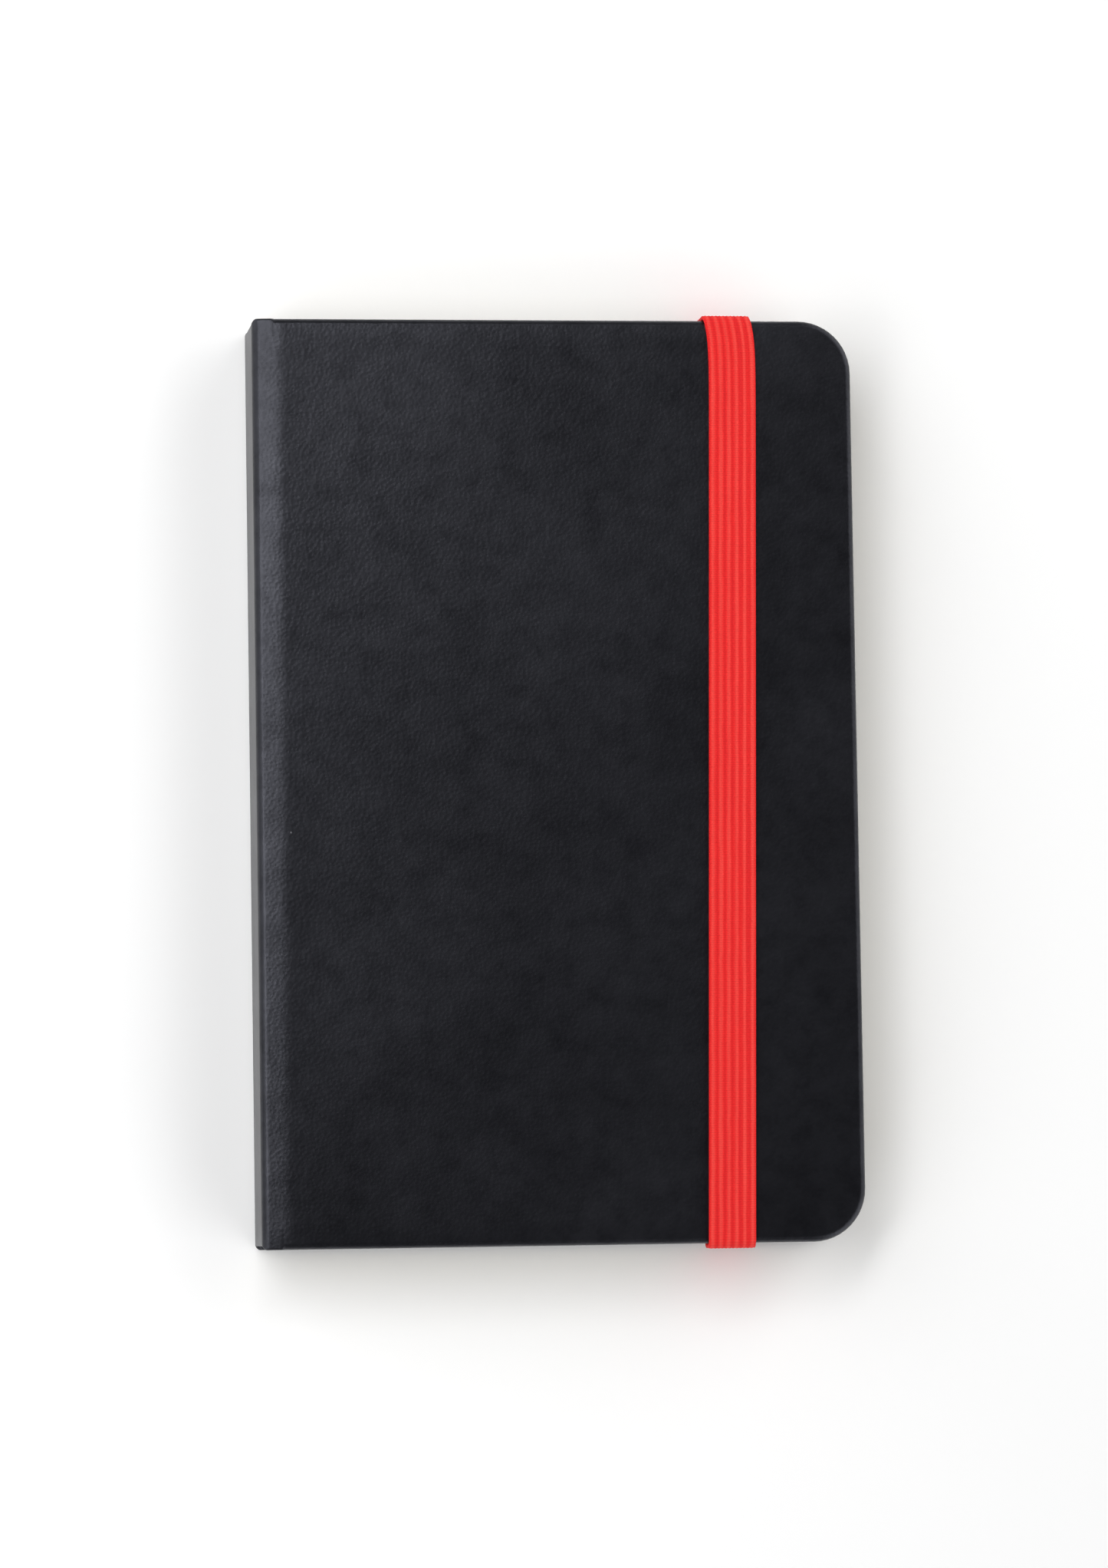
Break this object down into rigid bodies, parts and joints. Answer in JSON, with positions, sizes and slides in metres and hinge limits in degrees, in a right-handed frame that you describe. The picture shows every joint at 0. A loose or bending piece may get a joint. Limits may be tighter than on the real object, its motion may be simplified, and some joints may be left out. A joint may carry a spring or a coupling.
{
  "type": "pocket notebook",
  "caption": "Pocket notebook with a black leatherette hard cover, round fore-edge corners, sewn ivory pages and a flat red elastic closure band that slips off over the fore edge.",
  "frame": {"origin": "on the table, under the middle of the back cover's outer face", "axes": "+X from the spine to the fore edge, +Y to the head of the book, +Z through the closed book from the back cover to the front cover"},
  "size_m": [0.0914, 0.1416, 0.0154],
  "materials": {
    "cover_leatherette": "matt fine-grained leatherette",
    "greyboard": "raw bookbinding board",
    "endpaper": "smooth ivory endpaper",
    "page_paper": "uncoated ivory paper",
    "elastic_weave": "ribbed woven elastic",
    "lining_gauze": "open gauze",
    "sewing_thread": "linen thread"
  },
  "bodies": {
    "back_cover": {"back_board": "greyboard", "back_cover_skin": "cover_leatherette", "back_pastedown": "endpaper", "back_flyleaf": "endpaper", "elastic_end_head": "elastic_weave", "elastic_end_tail": "elastic_weave", "signature_07": "page_paper", "signature_08": "page_paper", "signature_09": "page_paper", "signature_10": "page_paper", "signature_11": "page_paper"},
    "spine": {"spine_card": "greyboard", "spine_skin": "cover_leatherette", "spine_lining": "lining_gauze", "sewing_thread_1": "sewing_thread", "sewing_thread_2": "sewing_thread", "sewing_thread_3": "sewing_thread", "sewing_thread_4": "sewing_thread", "sewing_thread_5": "sewing_thread"},
    "front_cover": {"front_board": "greyboard", "front_cover_skin": "cover_leatherette", "front_pastedown": "endpaper", "front_flyleaf": "endpaper", "signature_01": "page_paper", "signature_02": "page_paper", "signature_03": "page_paper", "signature_04": "page_paper", "signature_05": "page_paper"},
    "elastic": {"elastic_band": "elastic_weave"},
    "leaf_1": {"leaf_1": "page_paper"},
    "leaf_2": {"leaf_2": "page_paper"},
    "leaf_3": {"leaf_3": "page_paper"},
    "leaf_4": {"leaf_4": "page_paper"},
    "leaf_5": {"leaf_5": "page_paper"},
    "leaf_6": {"leaf_6": "page_paper"},
    "leaf_7": {"leaf_7": "page_paper"},
    "leaf_8": {"leaf_8": "page_paper"}
  },
  "joints": [
    {"name": "back_hinge", "type": "hinge", "parent": "back_cover", "child": "spine", "pos_m": [-0.04575, 0, 0], "axis": [0, -1, 0], "range_deg": [0, 90]},
    {"name": "front_hinge", "type": "hinge", "parent": "spine", "child": "front_cover", "pos_m": [-0.04575, 0, 0.01464], "axis": [0, -1, 0], "range_deg": [0, 90]},
    {"name": "leaf_1_turn", "type": "hinge", "parent": "spine", "child": "leaf_1", "pos_m": [-0.04445, 0, 0.00779], "axis": [0, -1, 0], "range_deg": [0, 45]},
    {"name": "leaf_2_turn", "type": "hinge", "parent": "spine", "child": "leaf_2", "pos_m": [-0.04445, 0, 0.00766], "axis": [0, -1, 0], "range_deg": [0, 32]},
    {"name": "leaf_3_turn", "type": "hinge", "parent": "spine", "child": "leaf_3", "pos_m": [-0.04445, 0, 0.00754], "axis": [0, -1, 0], "range_deg": [0, 20]},
    {"name": "leaf_4_turn", "type": "hinge", "parent": "spine", "child": "leaf_4", "pos_m": [-0.04445, 0, 0.00741], "axis": [0, -1, 0], "range_deg": [0, 6]},
    {"name": "leaf_5_turn", "type": "hinge", "parent": "spine", "child": "leaf_5", "pos_m": [-0.04445, 0, 0.00728], "axis": [0, -1, 0], "range_deg": [-6, 0]},
    {"name": "leaf_6_turn", "type": "hinge", "parent": "spine", "child": "leaf_6", "pos_m": [-0.04445, 0, 0.00715], "axis": [0, -1, 0], "range_deg": [-20, 0]},
    {"name": "leaf_7_turn", "type": "hinge", "parent": "spine", "child": "leaf_7", "pos_m": [-0.04445, 0, 0.00702], "axis": [0, -1, 0], "range_deg": [-32, 0]},
    {"name": "leaf_8_turn", "type": "hinge", "parent": "spine", "child": "leaf_8", "pos_m": [-0.04445, 0, 0.00688], "axis": [0, -1, 0], "range_deg": [-45, 0]},
    {"name": "elastic_slip", "type": "hinge", "parent": "back_cover", "child": "elastic", "pos_m": [0.0308, 0, -0.00055], "axis": [0, 1, 0], "range_deg": [0, 90], "deforming": ["elastic_band"]}
  ],
  "couplings": [
    {"joint": "front_hinge", "follows": "back_hinge", "ratio": 1},
    {"joint": "leaf_1_turn", "follows": "back_hinge", "ratio": 0.5},
    {"joint": "leaf_2_turn", "follows": "back_hinge", "ratio": 0.35556},
    {"joint": "leaf_3_turn", "follows": "back_hinge", "ratio": 0.22222},
    {"joint": "leaf_4_turn", "follows": "back_hinge", "ratio": 0.066667},
    {"joint": "leaf_5_turn", "follows": "back_hinge", "ratio": -0.066667},
    {"joint": "leaf_6_turn", "follows": "back_hinge", "ratio": -0.22222},
    {"joint": "leaf_7_turn", "follows": "back_hinge", "ratio": -0.35556},
    {"joint": "leaf_8_turn", "follows": "back_hinge", "ratio": -0.5},
    {"joint": "elastic_slip", "follows": "back_hinge", "ratio": 1}
  ]
}
